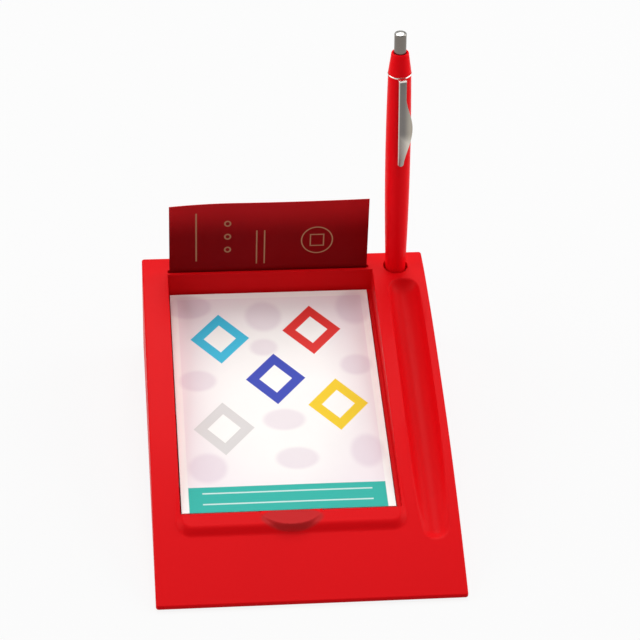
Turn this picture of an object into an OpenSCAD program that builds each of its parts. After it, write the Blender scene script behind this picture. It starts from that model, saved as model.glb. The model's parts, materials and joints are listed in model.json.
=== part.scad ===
// Desk memo holder: arched base with a sloping pad tray, a card slot, a pen groove and an upright click pen

/* [Base] */
// Width of the base across the desk
base_w = 127; // [120:1:150]
// Depth of the base from front lip to back wall
base_d = 178; // [160:1:200]
// Height of the top edge at the front lip
front_h = 2.4; // [2:0.1:6]
// Height of the top edge at the back wall
back_h = 49.4; // [46:0.2:60]
// Rise of the arched top over its straight chord
arch_rise = 7.25; // [6:0.25:9]
// Thickness of the moulded walls
wall = 2.4; // [2:0.1:3]
// Rounding of the long side edges
edge_r = 1.5; // [0.75:0.25:3]
// Rounding of the back top edge
back_r = 1; // [0.5:0.25:5]
// Rounding of the upright corners
corner_r = 2; // [1:0.5:6]
// Land between the tray and the right side of the base, with the pen groove
pen_land = 23.7; // [22:0.1:32]
// Land behind the tray, with the card slot
back_land = 12.1; // [10:0.1:20]

/* [Tray] */
// Tilt of the tray floor
tray_tilt = 9.1; // [7:0.1:10]
// Depth of the pad's front edge under the arched top
pad_drop = 0.5; // [0:0.1:1.5]
// Room at the left of the pad
pad_left_gap = 0.7; // [0.4:0.1:3]
// Room at the right of the pad
pad_right_gap = 2.2; // [0.4:0.1:3]
// Room between the pad and the front wall of the tray
pad_front_gap = 1.2; // [0.8:0.1:3]
// Room behind the glued head of the pad
pad_head_gap = 0.1; // [0.1:0.05:0.5]
// Room under the pad
pad_seat_gap = 0.2; // [0.1:0.05:0.4]
// Wall and floor thickness of the tray
tub_wall = 1.8; // [1.4:0.1:2.4]
// Width of the front rim's level top
rim_w = 6.2; // [3:0.1:8]
// Height of the front rim over the pad
rim_h = 0.8; // [0.4:0.1:2]
// Run of the front rim's sloping face
rim_run = 5; // [3:0.1:8]
// Slope of the front rim's face against the tray
rim_slope = 32; // [25:1:45]
// Reach of the front rim past the sides of the tray
rim_end = 1.2; // [0.8:0.1:2.5]
// Rounding of the front rim's outer corners
rim_r = 4; // [2:0.5:6]
// Width of the half-round thumb rest along the front edge of the pad
thumb_w = 27; // [20:1:36]
// Reach of the thumb rest in front of the pad
thumb_d = 10; // [6:0.2:12]
// Rise of the thumb rest's top against the tray
thumb_tilt = 12; // [8:0.5:15]
// Height of the thumb rest over the edge of the pad
thumb_h = 0.2; // [0:0.1:0.6]
// Room between the thumb rest and the pad
thumb_gap = 0.4; // [0.2:0.1:0.8]

/* [Memo pad] */
// Width of a sheet
pad_w = 89; // [74:1:105]
// Length of a sheet
pad_l = 127; // [100:1:150]
// Thickness of the block of sheets
sheets_t = 4.9; // [3:0.1:6]
// Thickness of the grey backing board
backing_t = 0.8; // [0.5:0.1:1.2]
// Thickness of the printed top sheet
cover_t = 0.2; // [0.15:0.05:0.4]
// Loose gap under the printed top sheet
cover_gap = 0.1; // [0.05:0.05:0.2]
// Thickness of the glue strip at the head of the pad
binding_t = 0.3; // [0.2:0.05:0.4]

/* [Card] */
// Width of the name card
card_w = 88.9; // [80:0.1:92]
// Height of the name card
card_h = 50.8; // [48:0.1:56]
// Thickness of the name card
card_t = 0.4; // [0.25:0.05:0.6]
// Height of the card that stands out of the slot
card_show = 35.8; // [30:0.1:38]
// Width of the card slot from front to back
slot_t = 1.8; // [1.4:0.1:2.4]
// Wall between the tray and the card slot
slot_wall = 1.4; // [1.2:0.1:2]
// Room at each end of the card in its slot
card_end_gap = 1.5; // [0.5:0.1:3]
// Clearance under the card
card_clear = 0.3; // [0.1:0.1:0.6]

/* [Pen rest] */
// Distance of the pen groove from the right side of the base
groove_edge = 10.7; // [10:0.1:12]
// Radius of the pen groove
groove_r = 7; // [6:0.1:7.4]
// Depth of the groove near its back end
groove_back_drop = 4; // [3:0.1:4.4]
// Depth of the groove near its front end
groove_front_drop = 2.2; // [1.5:0.1:2.8]
// Distance from the back of the base to the groove's back end
groove_back = 17; // [15.5:0.1:20]
// Distance from the front lip to the groove's front end
groove_front = 29; // [20:1:36]
// Distance of the pen socket from the right side of the base
socket_edge = 12.8; // [12:0.1:14]
// Distance of the pen socket from the back of the base
socket_back = 9.8; // [8.6:0.1:10.8]
// Lean of the pen towards the tray
pen_lean = 1.76; // [0:0.02:3]
// Clearance round the pen in the mouth of the socket
socket_clear = 0.3; // [0.2:0.05:0.6]
// Radius of the relief bore under the pen's nose
relief_r = 2.8; // [2.5:0.1:3]
// Depth of the relief bore below the pen's nose
relief_l = 6; // [4:0.5:8]

/* [Pen] */
// Largest radius of the pen barrel
barrel_r = 5.5; // [5:0.05:5.6]
// Radius of the barrel's long swelling curve
barrel_swell = 1700; // [1100:50:2200]
// Height of the widest point over the socket
barrel_mid = 58; // [54:1:62]
// Height of the top of the barrel over the socket
barrel_top = 100; // [90:0.5:110]
// Depth of the pen's nose in the socket
nose_depth = 20; // [18:0.5:22]
// Length of the tapered nose
nose_l = 12; // [10:0.5:13]
// Radius of the nose at its tip
nose_tip_r = 1.7; // [1.6:0.05:1.9]
// Height of the cap over the barrel
cap_h = 10; // [8:0.5:12]
// Radius of the cap at its top
cap_top_r = 3.8; // [3.6:0.05:4.3]
// Length of the push button that stands out of the cap
button_show = 9.5; // [8:0.5:12]
// Radius of the push button
button_r = 2.6; // [2.4:0.05:2.65]
// Travel of the push button
button_travel = 5.5; // [4:0.25:6]
// Length of the clip blade
clip_l = 42; // [34:1:46]
// Swell of the clip blade to its right
clip_bulge = 4.2; // [3:0.1:4.8]
// Turn of the clip to the right of the front
clip_turn = 8; // [-30:1:60]
// Thickness of the clip metal
clip_t = 0.6; // [0.4:0.05:0.8]
// Radius of the refill tube
refill_r = 1.55; // [1.5:0.05:1.7]
// Radius of the spring wire
wire_r = 0.2; // [0.15:0.05:0.25]
// Turns of the return spring
spring_turns = 7; // [5:1:9]

/* [Underside] */
// Height of the base over the desk on its feet
foot_h = 0.8; // [0.6:0.1:1.5]
// Radius of a rubber foot
foot_r = 5; // [4:0.5:6]
// Depth of the seat of a foot in the bottom plate
foot_seat = 0.8; // [0.5:0.1:1]
// Thickness of the bottom plate
plate_t = 2.4; // [2.2:0.1:3]
// Clearance round the bottom plate
plate_gap = 0.2; // [0.1:0.05:0.4]
// Radius of a screw shank
screw_r = 1.4; // [1.2:0.1:1.6]
// Length of a screw in its boss
screw_l = 5; // [4:0.5:8]
// Radius of a screw boss
boss_r = 3.5; // [3:0.1:4.5]

/* [Hidden] */
$fn = 96;
red = "#d71019";
silver = "#b9b9b6";
eps = 0.01;
over = 1;
far = 300;

// Sides of the base
front_y = -base_d / 2;
back_y = base_d / 2;
left_x = -base_w / 2;
right_x = base_w / 2;

// Arched top: a circle through the front and back edges
chord_rise = back_h - front_h;
chord_l = sqrt(base_d * base_d + chord_rise * chord_rise);
chord_a = atan(chord_rise / base_d);
arch_r = (chord_l * chord_l / 4 + arch_rise * arch_rise) / (2 * arch_rise);
arch_y = sin(chord_a) * (arch_r - arch_rise);
arch_c = (front_h + back_h) / 2 - cos(chord_a) * (arch_r - arch_rise);
blank_h = 2 * back_h;
function arch_z(y) = arch_c + sqrt(arch_r * arch_r - (y - arch_y) * (y - arch_y));

// Tray frame: its origin is the middle of the pad's top front edge
pad_h = backing_t + sheets_t + cover_gap + cover_t;
floor_z = -pad_h - pad_seat_gap;
tray_run = (pad_l + binding_t) * cos(tray_tilt) - floor_z * sin(tray_tilt) + pad_head_gap;
tray_back_y = back_y - back_land;
tray_left = -pad_w / 2 - pad_left_gap;
tray_right = pad_w / 2 + pad_right_gap;
tray_w = tray_right - tray_left;
pad_x = right_x - pen_land - tray_right;
pad_y = tray_back_y - tray_run;
pad_z = arch_z(pad_y) - pad_drop;
rim_front = -pad_front_gap - rim_w;
rim_foot = rim_front - rim_run;
rim_foot_z = rim_h - rim_run * tan(rim_slope);
rim_back = 12;
rim_root = 5;
thumb_r = (thumb_w * thumb_w / 4 + thumb_d * thumb_d) / (2 * thumb_d);
thumb_root = 7;
thumb_relief = 0.5;

// Card slot behind the tray
slot_w = card_w + 2 * card_end_gap;
slot_y = tray_back_y + slot_wall + slot_t / 2;
card_z = arch_z(slot_y) + card_show - card_h;
slot_z = card_z - card_clear;

// Pen groove: a straight trough with round ends under the arch
groove_x = right_x - groove_edge;
groove_y1 = back_y - groove_back;
groove_y0 = front_y + groove_front;
groove_z1 = arch_z(groove_y1) - groove_back_drop;
groove_z0 = arch_z(groove_y0) - groove_front_drop;
groove_a = atan((groove_z1 - groove_z0) / (groove_y1 - groove_y0));
groove_l = (groove_y1 - groove_y0) / cos(groove_a);
groove_wall = 1.8;

// Pen socket and pen, measured along the pen's own axis from the top of the socket
function barrel_at(z) = barrel_r - (z - barrel_mid) * (z - barrel_mid) / (2 * barrel_swell);
socket_x = right_x - socket_edge;
socket_y = back_y - socket_back;
socket_z = arch_z(socket_y);
socket_r = barrel_at(0) + socket_clear;
socket_wall = 1.6;
socket_floor = 2;
relief_depth = nose_depth + relief_l;
nose_z = nose_l - nose_depth;
nose_r = barrel_at(nose_z);
nose_slope = (nose_r - nose_tip_r) / nose_l;
seat_clear = 0.1;
socket_step = nose_z - (nose_r - relief_r + seat_clear) / nose_slope;

// Bores of the pen from the nose upwards
fit = 0.05;
run = 0.12;
tip_hole_r = 1.2;
spring_seat = 2;
spring_seat_z = nose_z - spring_seat;
spring_bore_r = 2.2;
spring_bore_l = 20;
spring_bore_top = spring_seat_z + spring_bore_l;
main_bore_r = 3.2;
spigot_l = 8;
spigot_r = 3.9;

// Collar of the clip and cap
collar_t = 0.6;
collar_lip = 0.2;
collar_r = barrel_at(barrel_top) + collar_lip;
cap_inset = 0.15;
cap_bore_r = 3.1;
cap_z0 = barrel_top + collar_t;
cap_z1 = cap_z0 + cap_h;
cap_floor = 5;
cap_edge_r = 0.6;

// Button, cams and refill
button_top = cap_z1 + button_show;
button_wall = 0.5;
button_dome = 1.2;
cam_r = cap_bore_r - run;
cam_gap = 0.2;
cam_top = cap_z1 - cap_floor - cam_gap;
cam_overhang = 1;
cam_bottom = barrel_top - spigot_l - cam_overhang;
cam_teeth = 6;
tooth_h = 1.2;
tooth_w = 1.2;
tooth_gap = 0.15;
rotor_l = 7;
rotor_r = 2.6;
rotor_top = cam_bottom + tooth_h - tooth_gap;
rotor_stub = 3;
rib_l = 4;
rib_w = 0.8;
rib_h = 0.3;
refill_wall = 0.4;
refill_top = cam_bottom - rotor_l;
refill_step = 4;
refill_bottom = spring_bore_top - refill_step;
refill_l = refill_top - refill_bottom;
tip_r = 1;
tip_reach = 2.9;
tip_inset = button_travel - tip_reach;
tip_end = tip_inset - nose_depth;
tip_cone = 4;
tip_end_r = 0.5;
tip_plug = 3;
ball_r = 0.4;
ball_seat = 0.05;
ball_z = tip_end + ball_r / 2;
spring_r = refill_r;
spring_bottom = spring_seat_z + wire_r;
spring_top = refill_bottom - wire_r;

// Clip outline
clip_stand = 1.6;
clip_lap = 0.4;
clip_neck = 1.3;
clip_left = 1.4;
clip_tip = 1.1;
clip_gap = 0.25;
clip_shank = 6;
clip_leaf_top = 4;
clip_neck_l = 12;
clip_tip_l = 8;
leaf_l = clip_l - clip_shank;
leaf_peak = 0.42 * leaf_l;

// Underside
plate_z = foot_h + plate_t;
inner_r = arch_r - wall;
plate_rise = plate_z + plate_gap - arch_c;
plate_front = arch_y - sqrt(inner_r * inner_r - plate_rise * plate_rise);
plate_back = back_y - wall - plate_gap;
plate_side = base_w / 2 - wall - plate_gap;
boss_inset = 10;
boss_front = 30;
boss_back = 16;
boss_x = [pad_x + tray_left + boss_inset, pad_x + tray_right - boss_inset];
boss_y = [pad_y + boss_front, tray_back_y - boss_back];
head_r = 2.8;
head_h = 1.5;
head_gap = 0.3;
recess_l = 3.4;
recess_w = 0.7;
recess_h = 0.8;
screw_gap = 0.05;
foot_inset = 4;
foot_front = 8;
foot_x = plate_side - foot_r - foot_inset;
foot_y = [plate_front + foot_r + foot_front, plate_back - foot_r - foot_inset];

module tray_frame() {
    translate([pad_x, pad_y, pad_z]) rotate([tray_tilt, 0, 0]) children();
}

module pen_frame() {
    translate([socket_x, socket_y, socket_z]) rotate([0, -pen_lean, 0]) children();
}

// A tube of arch section, turned about the arch's own axis
module about_arch() {
    translate([0, arch_y, arch_c]) rotate([0, 90, 0]) children();
}

module arch_section() {
    inner = arch_r - blank_h;
    translate([inner, left_x]) square([blank_h - edge_r, base_w]);
    translate([inner, left_x + edge_r]) square([blank_h, base_w - 2 * edge_r]);
    for (s = [-1, 1])
        translate([arch_r - edge_r, s * (right_x - edge_r)]) circle(edge_r);
}

module footprint() {
    square([base_w - 2 * corner_r, base_d], center = true);
    square([base_w, base_d - 2 * corner_r], center = true);
    for (sx = [-1, 1], sy = [-1, 1])
        translate([sx * (right_x - corner_r), sy * (back_y - corner_r)]) circle(corner_r);
}

// What the rounded back edge takes off the arch
module back_edge_cut() {
    cy = back_y - back_r;
    cz = arch_c + sqrt((arch_r - back_r) * (arch_r - back_r) - (cy - arch_y) * (cy - arch_y));
    ny = (cy - arch_y) / (arch_r - back_r);
    nz = (cz - arch_c) / (arch_r - back_r);
    reach = 3 * back_r;
    rotate([90, 0, 90]) linear_extrude(2 * base_w, center = true) difference() {
        translate([cy, cz])
            polygon([[0, 0], [reach * ny, reach * nz], [reach * (ny + 1), reach * nz], [reach, 0]]);
        translate([cy, cz]) circle(back_r);
    }
}

module outer_body() {
    difference() {
        intersection() {
            about_arch() rotate_extrude() arch_section();
            translate([0, 0, foot_h]) linear_extrude(blank_h) footprint();
        }
        back_edge_cut();
    }
}

// The hollow of the shell, or with a smaller inset the body that the inner walls may fill
module arch_core(inset, base_z) {
    intersection() {
        about_arch() cylinder(r = arch_r - inset, h = base_w - 2 * inset, center = true);
        translate([left_x, front_y + inset, base_z]) cube([base_w, base_d - 2 * inset, blank_h]);
    }
}

module tray_pocket(grow) {
    intersection() {
        tray_frame() translate([tray_left - grow, -pad_front_gap - grow, floor_z - grow])
            cube([tray_w + 2 * grow, far, blank_h]);
        translate([-far, -far, -far]) cube([2 * far, far + tray_back_y + grow, 2 * far]);
    }
}

// Low rim along the front of the tray: level on top, sloping down to the arch
module front_rim() {
    left = tray_left - rim_end;
    right = tray_right + rim_end;
    tray_frame() intersection() {
        translate([0, 0, -rim_root]) linear_extrude(rim_root + rim_h) {
            translate([left, rim_foot + rim_r]) square([right - left, rim_back - rim_foot - rim_r]);
            translate([left + rim_r, rim_foot]) square([right - left - 2 * rim_r, rim_back - rim_foot]);
            for (x = [left + rim_r, right - rim_r])
                translate([x, rim_foot + rim_r]) circle(rim_r);
        }
        rotate([90, 0, 90]) linear_extrude(far, center = true)
            polygon([[rim_foot, -rim_root], [rim_back, -rim_root], [rim_back, rim_h],
                     [rim_front, rim_h], [rim_foot, rim_foot_z]]);
    }
}

// Frame of the thumb rest: the middle of the tray's front, with the top of the rest level
module thumb_frame() {
    tray_frame() translate([(tray_left + tray_right) / 2, 0, 0]) rotate([-thumb_tilt, 0, 0])
        translate([0, thumb_r - thumb_d, 0]) children();
}

module thumb_rest() {
    intersection() {
        thumb_frame() translate([0, 0, -thumb_root]) cylinder(r = thumb_r, h = thumb_root + thumb_h + over);
        tray_frame() translate([-far, -far - thumb_gap, -far]) cube([2 * far, far, 2 * far]);
    }
}

// Clears the level top of the thumb rest out of the rim
module thumb_cut() {
    thumb_frame() translate([0, 0, thumb_h]) cylinder(r = thumb_r + thumb_relief, h = rim_root);
}

module slot_box(grow) {
    translate([pad_x - slot_w / 2 - grow, slot_y - slot_t / 2 - grow, slot_z - grow])
        cube([slot_w + 2 * grow, slot_t + 2 * grow, back_h]);
}

module groove_trough(r) {
    translate([groove_x, groove_y0, groove_z0]) rotate([groove_a, 0, 0]) translate([0, 0, groove_r])
        rotate([-90, 0, 0]) {
            sphere(r);
            cylinder(r = r, h = groove_l - groove_r);
            translate([0, 0, groove_l - groove_r]) sphere(r);
        }
}

module socket_tube() {
    pen_frame() translate([0, 0, -relief_depth - socket_floor])
        cylinder(r = socket_r + socket_wall, h = relief_depth + socket_floor + back_h);
}

module socket_bore() {
    pen_frame() {
        translate([0, 0, socket_step]) cylinder(r = socket_r, h = back_h);
        translate([0, 0, -relief_depth]) cylinder(r = relief_r, h = relief_depth);
    }
}

module at_bosses() {
    for (x = boss_x, y = boss_y)
        translate([x, y, 0]) children();
}

module at_feet() {
    for (s = [-1, 1], y = foot_y)
        translate([s * foot_x, y, 0]) children();
}

module base_shell() {
    color(red) difference() {
        union() {
            difference() {
                union() {
                    difference() {
                        outer_body();
                        arch_core(wall, 0);
                    }
                    intersection() {
                        arch_core(wall / 2, plate_z);
                        union() {
                            tray_pocket(tub_wall);
                            slot_box(slot_wall);
                            groove_trough(groove_r + groove_wall);
                            socket_tube();
                            at_bosses() translate([0, 0, plate_z]) cylinder(r = boss_r, h = back_h);
                        }
                    }
                    front_rim();
                }
                tray_pocket(0);
            }
            thumb_rest();
        }
        thumb_cut();
        slot_box(0);
        groove_trough(groove_r);
        socket_bore();
        at_bosses() cylinder(r = screw_r + screw_gap, h = plate_z + screw_l + screw_gap);
    }
}

module bottom_plate() {
    color("#7d0c12") difference() {
        translate([-plate_side, plate_front, foot_h])
            cube([2 * plate_side, plate_back - plate_front, plate_t]);
        at_bosses() {
            cylinder(r = screw_r + head_gap, h = back_h);
            cylinder(r = head_r + head_gap, h = foot_h + head_h);
        }
        at_feet() cylinder(r = foot_r, h = foot_h + foot_seat);
    }
}

module cover_screws() {
    color(silver) at_bosses() translate([0, 0, foot_h]) difference() {
        union() {
            cylinder(r = head_r, h = head_h);
            cylinder(r = screw_r, h = plate_t + screw_l);
        }
        for (a = [0, 90])
            rotate(a) translate([-recess_l / 2, -recess_w / 2, -eps]) cube([recess_l, recess_w, recess_h]);
    }
}

module rubber_feet() {
    color("#2a2a2a") at_feet() rotate_extrude()
        polygon([[0, 0], [foot_r - foot_h / 2, 0], [foot_r, foot_h / 2],
                 [foot_r, foot_h + foot_seat], [0, foot_h + foot_seat]]);
}

// One flat layer of the pad, from its lower face upwards
module pad_layer(z, t) {
    tray_frame() translate([-pad_w / 2, 0, z]) cube([pad_w, pad_l, t]);
}

module pad_backing() {
    color("#a59a86") pad_layer(-pad_h, backing_t);
}

module pad_sheets() {
    color("#f4f1ec") pad_layer(-pad_h + backing_t, sheets_t);
}

module pad_binding() {
    color("#e9e6e0") tray_frame() translate([-pad_w / 2, pad_l, -pad_h])
        cube([pad_w, binding_t, backing_t + sheets_t]);
}

module pad_cover() {
    color("#f3e3ea") pad_layer(-cover_t, cover_t);
}

module name_card() {
    color("#6d0710") translate([pad_x - card_w / 2, slot_y - card_t / 2, card_z])
        cube([card_w, card_t, card_h]);
}

// Half section of the swelling barrel between two heights
module swelling_side(z0, z1) {
    steps = 16;
    side = [for (i = [0 : steps]) let (z = z0 + (z1 - z0) * i / steps) [barrel_at(z), z]];
    polygon(concat([[0, z0]], side, [[0, z1]]));
}

module pen_barrel() {
    color(red) pen_frame() rotate_extrude() difference() {
        union() {
            swelling_side(nose_z, barrel_top);
            polygon([[0, -nose_depth], [nose_tip_r, -nose_depth], [nose_r, nose_z], [0, nose_z]]);
        }
        translate([0, -nose_depth - over]) square([tip_hole_r, nose_depth]);
        translate([0, spring_seat_z]) square([spring_bore_r, spring_bore_top - spring_seat_z]);
        translate([0, spring_bore_top - eps]) square([main_bore_r, barrel_top]);
        translate([0, barrel_top - spigot_l]) square([spigot_r + fit, spigot_l + over]);
    }
}

module pen_cap() {
    base_r = collar_r - cap_inset;
    cap_bore_z = barrel_top - spigot_l - over;
    color(red) pen_frame() rotate_extrude() difference() {
        union() {
            polygon([[0, cap_z0], [base_r, cap_z0], [cap_top_r, cap_z1 - cap_edge_r],
                     [cap_top_r - cap_edge_r, cap_z1], [0, cap_z1]]);
            translate([0, barrel_top - spigot_l + fit]) square([spigot_r, spigot_l + collar_t]);
        }
        translate([0, cap_bore_z]) square([cap_bore_r, cap_z1 - cap_floor - cap_bore_z]);
        translate([0, cap_z0]) square([button_r + run, cap_h + over]);
    }
}

// Flat outline of the clip blade: straight on one side, swelling on the other
module clip_outline() {
    swell = clip_bulge + clip_left;
    leaf_r = (leaf_l * leaf_l / 4 + swell * swell) / (2 * swell);
    intersection() {
        translate([clip_bulge - leaf_r, -clip_shank - leaf_peak]) circle(leaf_r, $fn = 240);
        translate([-clip_left, -clip_l]) square([clip_left + clip_bulge, clip_l - clip_leaf_top]);
    }
    translate([-clip_left, -clip_neck_l]) square([clip_left + clip_neck, clip_neck_l]);
    translate([-clip_left, clip_tip - clip_l]) square([2 * clip_tip, clip_tip_l]);
    translate([clip_tip - clip_left, clip_tip - clip_l]) circle(clip_tip);
}

module pen_clip() {
    reach = collar_r + clip_stand;
    foot = barrel_at(barrel_top - clip_l) + clip_gap;
    drop = atan((reach - foot) / clip_l);
    color(silver) pen_frame() rotate(clip_turn) {
        translate([0, 0, barrel_top]) difference() {
            cylinder(r = collar_r, h = collar_t);
            translate([0, 0, -over]) cylinder(r = spigot_r + fit, h = collar_t + 2 * over);
        }
        translate([-clip_left, -reach - clip_t, barrel_top])
            cube([clip_left + clip_neck, clip_stand + clip_t + clip_lap, collar_t]);
        translate([0, -reach, barrel_top + collar_t]) rotate([-drop, 0, 0])
            rotate([90, 0, 0]) linear_extrude(clip_t) clip_outline();
    }
}

module push_button() {
    color(silver) pen_frame() rotate_extrude() difference() {
        union() {
            translate([0, cam_top]) square([button_r, button_top - button_dome - cam_top]);
            intersection() {
                translate([0, button_top - button_r * 2]) circle(button_r * 2);
                translate([0, button_top - 2 * button_dome]) square([button_r, 3 * button_dome]);
            }
        }
        translate([0, cam_top - over]) square([button_r - button_wall, button_top - button_dome - cam_top]);
        translate([-far, -far / 2]) square([far, far]);
    }
}

// Wedges that point down, one for each tooth of the cams
module cam_wedges(lift) {
    for (i = [0 : cam_teeth - 1])
        rotate(i * 360 / cam_teeth) translate([0, 0, cam_bottom + lift]) rotate([90, 0, 0])
            linear_extrude(2 * cam_r) polygon([[0, 0], [tooth_w, tooth_h], [tooth_w, 2 * tooth_h],
                                               [-tooth_w, 2 * tooth_h], [-tooth_w, tooth_h]]);
}

module plunger_cam() {
    stem_r = button_r - button_wall - fit;
    color("#e8e6e0") pen_frame() {
        translate([0, 0, cam_bottom + tooth_h]) cylinder(r = cam_r, h = cam_top - cam_bottom - tooth_h);
        intersection() {
            cam_wedges(0);
            translate([0, 0, cam_bottom]) cylinder(r = rotor_r, h = tooth_h);
        }
        translate([0, 0, cam_top]) cylinder(r = stem_r, h = button_top - 3 * button_dome - cam_top);
    }
}

module cam_rotor() {
    color("#e8e6e0") pen_frame() {
        difference() {
            translate([0, 0, refill_top]) cylinder(r = rotor_r, h = rotor_top - refill_top);
            cam_wedges(-tooth_gap);
        }
        for (a = [0 : 90 : 270])
            rotate(a) translate([0, -rib_w / 2, refill_top]) cube([rotor_r + rib_h, rib_w, rib_l]);
        translate([0, 0, refill_top - rotor_stub])
            cylinder(r = refill_r - refill_wall - fit, h = rotor_stub + eps);
    }
}

module refill_tube() {
    color("#f0ece2") pen_frame() translate([0, 0, refill_bottom]) difference() {
        cylinder(r = refill_r, h = refill_l);
        translate([0, 0, -over]) cylinder(r = refill_r - refill_wall, h = refill_l + 2 * over);
    }
}

module refill_tip() {
    color("#c9a13b") pen_frame() rotate_extrude() difference() {
        polygon([[0, tip_end], [tip_end_r, tip_end], [tip_r, tip_end + tip_cone],
                 [tip_r, refill_bottom], [refill_r - refill_wall - fit, refill_bottom],
                 [refill_r - refill_wall - fit, refill_bottom + tip_plug], [0, refill_bottom + tip_plug]]);
        translate([0, ball_z]) circle(ball_r + ball_seat);
        translate([-far, -far / 2]) square([far, far]);
    }
}

module writing_ball() {
    color("#8f9296") pen_frame() translate([0, 0, ball_z]) sphere(ball_r);
}

// Points of the spring wire, ring by ring along the helix
module return_spring() {
    steps = 16;
    sides = 6;
    rings = spring_turns * steps;
    pitch_z = spring_top - spring_bottom;
    points = [
        for (i = [0 : rings], k = [0 : sides - 1])
            let (a = i * 360 / steps, b = k * 360 / sides, r = spring_r + wire_r * cos(b))
                [r * cos(a), r * sin(a), spring_bottom + pitch_z * i / rings + wire_r * sin(b)]
    ];
    faces = concat(
        [[for (k = [0 : sides - 1]) k]],
        [
            for (i = [0 : rings - 1], k = [0 : sides - 1])
                let (n = (k + 1) % sides)
                    [i * sides + n, i * sides + k, (i + 1) * sides + k, (i + 1) * sides + n]
        ],
        [[for (k = [sides - 1 : -1 : 0]) rings * sides + k]]
    );
    color("#9a9da1") pen_frame() polyhedron(points, faces);
}

base_shell();
bottom_plate();
cover_screws();
rubber_feet();
pad_backing();
pad_sheets();
pad_binding();
pad_cover();
name_card();
pen_barrel();
pen_cap();
pen_clip();
push_button();
plunger_cam();
cam_rotor();
refill_tube();
refill_tip();
writing_ball();
return_spring();
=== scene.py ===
import json
import math
import bmesh
import bpy
from mathutils import Matrix, Vector


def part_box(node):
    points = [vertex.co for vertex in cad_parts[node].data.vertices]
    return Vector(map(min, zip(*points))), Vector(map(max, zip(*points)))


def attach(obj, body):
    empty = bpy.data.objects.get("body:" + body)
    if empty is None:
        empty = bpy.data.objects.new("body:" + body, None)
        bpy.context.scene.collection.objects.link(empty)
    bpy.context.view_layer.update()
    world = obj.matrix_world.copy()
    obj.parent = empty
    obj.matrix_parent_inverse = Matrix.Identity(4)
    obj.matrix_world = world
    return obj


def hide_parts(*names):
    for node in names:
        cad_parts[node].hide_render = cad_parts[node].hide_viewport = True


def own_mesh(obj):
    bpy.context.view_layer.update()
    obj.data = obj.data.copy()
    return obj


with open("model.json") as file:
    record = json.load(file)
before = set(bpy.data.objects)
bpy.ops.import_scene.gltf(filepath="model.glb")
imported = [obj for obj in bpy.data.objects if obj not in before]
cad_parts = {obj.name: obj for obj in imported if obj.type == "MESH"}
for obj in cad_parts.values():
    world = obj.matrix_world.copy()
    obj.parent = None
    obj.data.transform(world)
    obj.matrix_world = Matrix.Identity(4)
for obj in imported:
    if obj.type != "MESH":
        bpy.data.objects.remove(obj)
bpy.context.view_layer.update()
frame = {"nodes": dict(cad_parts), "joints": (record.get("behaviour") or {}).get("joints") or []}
mm = 0.001  # pieces are modelled in millimetres and scaled at the end
nodes = frame["nodes"]
joints = {joint["name"]: joint for joint in frame["joints"]}
upright = Vector((0, 0, 1))


def boxMm(node):
    low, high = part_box(node)
    return low / mm, high / mm


# mesh helpers

def pieceMesh(bm, name):
    mesh = bpy.data.meshes.new(name)
    bm.to_mesh(mesh)
    bm.free()
    obj = bpy.data.objects.new(name, mesh)
    bpy.context.scene.collection.objects.link(obj)
    return obj


def finishPiece(bm, name, body, material, replaced=(), sharpAngle=38):
    bmesh.ops.scale(bm, vec=(mm, mm, mm), verts=bm.verts)
    obj = pieceMesh(bm, name)
    obj.data.shade_smooth()
    obj.data.set_sharp_from_angle(angle=math.radians(sharpAngle))
    obj.data.materials.append(material)
    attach(obj, body)
    if replaced:
        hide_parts(*replaced)
    print("piece", name, len(obj.data.polygons), "faces")
    return obj


def roundEdges(bm, edges, width, segments=3):
    if edges:
        bmesh.ops.bevel(bm, geom=edges, offset=width, offset_type="OFFSET", affect="EDGES", segments=segments,
                        profile=0.5, material=-1, clamp_overlap=False)


def edgeAngle(edge):
    return math.degrees(edge.calc_face_angle(0.0))


def midPoint(edge):
    return (edge.verts[0].co + edge.verts[1].co) / 2


def isUpright(edge, tolerance=0.999):
    run = (edge.verts[1].co - edge.verts[0].co).normalized()
    return abs(run.dot(upright)) > tolerance


def closeHoles(bm, edges):
    bmesh.ops.holes_fill(bm, edges=edges)
    bmesh.ops.recalc_face_normals(bm, faces=bm.faces)


def outlineFace(bm, points):
    return bm.faces.new([bm.verts.new(point) for point in points])


def raiseFace(bm, face, move):
    grown = bmesh.ops.extrude_face_region(bm, geom=[face])
    moved = [part for part in grown["geom"] if isinstance(part, bmesh.types.BMVert)]
    bmesh.ops.translate(bm, vec=move, verts=moved)
    bmesh.ops.recalc_face_normals(bm, faces=bm.faces)


def arcPoints(middle, radius, start, end, steps):
    angles = [math.radians(start + (end - start) * i / steps) for i in range(steps + 1)]
    return [(middle[0] + radius * math.cos(a), middle[1] + radius * math.sin(a)) for a in angles]


def turnProfile(profile, steps, closed=False):
    bm = bmesh.new()  # profile is (radius, height) pairs, turned about the z axis
    points = [bm.verts.new((r, 0, z)) for r, z in profile]
    edges = [bm.edges.new(pair) for pair in zip(points, points[1:])]
    if closed:
        edges.append(bm.edges.new((points[-1], points[0])))
    bmesh.ops.spin(bm, geom=points + edges, cent=(0, 0, 0), axis=upright, angle=math.tau, steps=steps,
                   use_merge=True)
    bmesh.ops.remove_doubles(bm, verts=bm.verts, dist=0.002)
    bmesh.ops.recalc_face_normals(bm, faces=bm.faces)
    return bm


def carve(target, tools):
    for tool in tools:
        change = target.modifiers.new(tool.name, "BOOLEAN")
        change.operation = "DIFFERENCE"
        change.solver = "EXACT"
        change.object = tool
    carved = bmesh.new()
    carved.from_object(target, bpy.context.evaluated_depsgraph_get())
    for obj in [target] + tools:
        bpy.data.objects.remove(obj, do_unlink=True)
    return carved


# node helpers

def addNode(tree, kind, **values):
    node = tree.nodes.new(kind)
    for key, value in values.items():
        setattr(node, key, value)
    return node


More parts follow.
